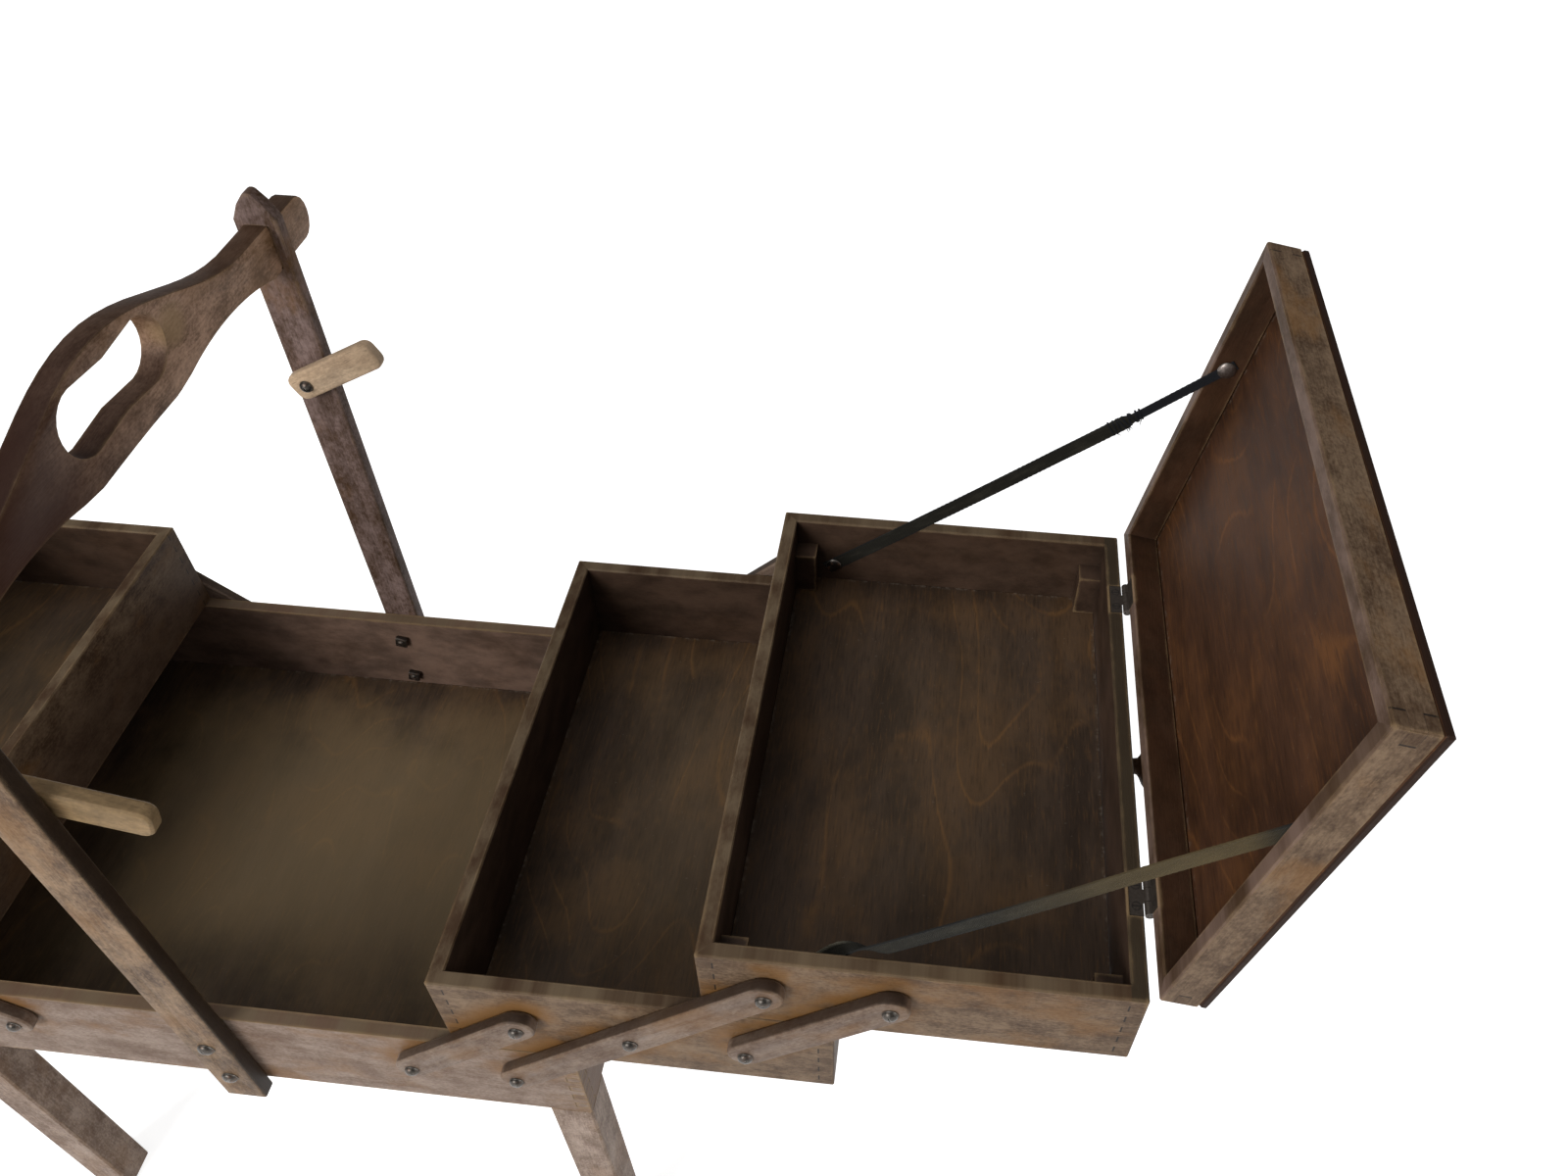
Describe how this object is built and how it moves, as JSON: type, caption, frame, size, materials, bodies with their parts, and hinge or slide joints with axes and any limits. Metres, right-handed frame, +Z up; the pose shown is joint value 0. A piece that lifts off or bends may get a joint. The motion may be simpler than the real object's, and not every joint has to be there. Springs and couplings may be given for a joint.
{
  "type": "sewing box",
  "caption": "Wooden cantilever sewing box on legs: base tray, two folding stacks of trays with hinged lids on pivoting arms, posts and a carrying handle.",
  "frame": {"origin": "centre of the footprint, on the floor", "axes": "+X to the right along the long side, +Y to the back, +Z up"},
  "size_m": [1.0916, 0.3856, 0.6618],
  "materials": {
    "stained_wood": "worn dark brown stain",
    "stained_ply": "dark stained plywood",
    "dark_iron": "blackened",
    "woven_tape": "woven"
  },
  "bodies": {
    "base": {"base_front_wall": "stained_wood", "base_back_wall": "stained_wood", "base_left_wall": "stained_wood", "base_right_wall": "stained_wood", "base_floor": "stained_ply", "leg_fl": "stained_wood", "leg_fr": "stained_wood", "leg_bl": "stained_wood", "leg_br": "stained_wood", "post_front": "stained_wood", "post_back": "stained_wood", "handle_board": "stained_wood", "bolt_front_low": "dark_iron", "bolt_front_high": "dark_iron", "bolt_back_low": "dark_iron", "bolt_back_high": "dark_iron"},
    "front_button": {"turn_button_front": "stained_wood"},
    "back_button": {"turn_button_back": "stained_wood"},
    "right_long_arms": {"right_long_arm_front": "stained_wood", "right_long_arm_back": "stained_wood"},
    "right_lower_arms": {"right_lower_arm_front": "stained_wood", "right_lower_arm_back": "stained_wood"},
    "right_upper_arms": {"right_upper_arm_front": "stained_wood", "right_upper_arm_back": "stained_wood"},
    "right_mid_tray": {"right_mid_frame": "stained_wood", "right_mid_floor": "stained_ply"},
    "right_top_tray": {"right_top_frame": "stained_wood", "right_top_floor": "stained_ply", "right_knob": "stained_wood", "right_hinge_front_tray": "dark_iron", "right_hinge_back_tray": "dark_iron", "right_tape_front": "woven_tape", "right_tape_back": "woven_tape"},
    "right_lid": {"right_lid_frame": "stained_wood", "right_lid_panel": "stained_ply", "right_hinge_front_lid": "dark_iron", "right_hinge_back_lid": "dark_iron"},
    "left_long_arms": {"left_long_arm_front": "stained_wood", "left_long_arm_back": "stained_wood"},
    "left_lower_arms": {"left_lower_arm_front": "stained_wood", "left_lower_arm_back": "stained_wood"},
    "left_upper_arms": {"left_upper_arm_front": "stained_wood", "left_upper_arm_back": "stained_wood"},
    "left_mid_tray": {"left_mid_frame": "stained_wood", "left_mid_floor": "stained_ply"},
    "left_top_tray": {"left_top_frame": "stained_wood", "left_top_floor": "stained_ply", "left_knob": "stained_wood", "left_hinge_front_tray": "dark_iron", "left_hinge_back_tray": "dark_iron", "left_tape_front": "woven_tape", "left_tape_back": "woven_tape"},
    "left_lid": {"left_lid_frame": "stained_wood", "left_lid_panel": "stained_ply", "left_hinge_front_lid": "dark_iron", "left_hinge_back_lid": "dark_iron"}
  },
  "joints": [
    {"name": "front_button_turn", "type": "hinge", "parent": "base", "child": "front_button", "pos_m": [0, -0.146, 0.5322], "axis": [0, -1, 0], "range_deg": [-76, 104]},
    {"name": "back_button_turn", "type": "hinge", "parent": "base", "child": "back_button", "pos_m": [0, 0.146, 0.5322], "axis": [0, -1, 0], "range_deg": [-118, 62]},
    {"name": "right_fold", "type": "hinge", "parent": "base", "child": "right_long_arms", "pos_m": [0.1729, 0, 0.3043], "axis": [0, -1, 0], "range_deg": [0, 95.2]},
    {"name": "right_mid_pivot", "type": "hinge", "parent": "right_long_arms", "child": "right_mid_tray", "pos_m": [0.24305, 0, 0.36836], "axis": [0, -1, 0], "range_deg": [-95.2, 0]},
    {"name": "right_top_pivot", "type": "hinge", "parent": "right_long_arms", "child": "right_top_tray", "pos_m": [0.31321, 0, 0.43242], "axis": [0, -1, 0], "range_deg": [-95.2, 0]},
    {"name": "right_lower_arm_pivot", "type": "hinge", "parent": "base", "child": "right_lower_arms", "pos_m": [0.1144, 0, 0.3043], "axis": [0, -1, 0], "range_deg": [0, 95.2]},
    {"name": "right_upper_arm_pivot", "type": "hinge", "parent": "right_mid_tray", "child": "right_upper_arms", "pos_m": [0.30155, 0, 0.36836], "axis": [0, -1, 0], "range_deg": [0, 95.2]},
    {"name": "right_lid_hinge", "type": "hinge", "parent": "right_top_tray", "child": "right_lid", "pos_m": [0.48821, 0, 0.45505], "axis": [0, -1, 0], "range_deg": [0, 100], "deforming": ["right_tape_front", "right_tape_back"]},
    {"name": "left_fold", "type": "hinge", "parent": "base", "child": "left_long_arms", "pos_m": [-0.1729, 0, 0.3043], "axis": [0, 1, 0], "range_deg": [0, 95.2]},
    {"name": "left_mid_pivot", "type": "hinge", "parent": "left_long_arms", "child": "left_mid_tray", "pos_m": [-0.24305, 0, 0.36836], "axis": [0, 1, 0], "range_deg": [-95.2, 0]},
    {"name": "left_top_pivot", "type": "hinge", "parent": "left_long_arms", "child": "left_top_tray", "pos_m": [-0.31321, 0, 0.43242], "axis": [0, 1, 0], "range_deg": [-95.2, 0]},
    {"name": "left_lower_arm_pivot", "type": "hinge", "parent": "base", "child": "left_lower_arms", "pos_m": [-0.1144, 0, 0.3043], "axis": [0, 1, 0], "range_deg": [0, 95.2]},
    {"name": "left_upper_arm_pivot", "type": "hinge", "parent": "left_mid_tray", "child": "left_upper_arms", "pos_m": [-0.30155, 0, 0.36836], "axis": [0, 1, 0], "range_deg": [0, 95.2]},
    {"name": "left_lid_hinge", "type": "hinge", "parent": "left_top_tray", "child": "left_lid", "pos_m": [-0.48821, 0, 0.45505], "axis": [0, 1, 0], "range_deg": [0, 100], "deforming": ["left_tape_front", "left_tape_back"]}
  ],
  "couplings": [
    {"joint": "right_mid_pivot", "follows": "right_fold", "ratio": -1},
    {"joint": "right_top_pivot", "follows": "right_fold", "ratio": -1},
    {"joint": "right_lower_arm_pivot", "follows": "right_fold", "ratio": 1},
    {"joint": "right_upper_arm_pivot", "follows": "right_fold", "ratio": 1},
    {"joint": "left_mid_pivot", "follows": "left_fold", "ratio": -1},
    {"joint": "left_top_pivot", "follows": "left_fold", "ratio": -1},
    {"joint": "left_lower_arm_pivot", "follows": "left_fold", "ratio": 1},
    {"joint": "left_upper_arm_pivot", "follows": "left_fold", "ratio": 1}
  ]
}
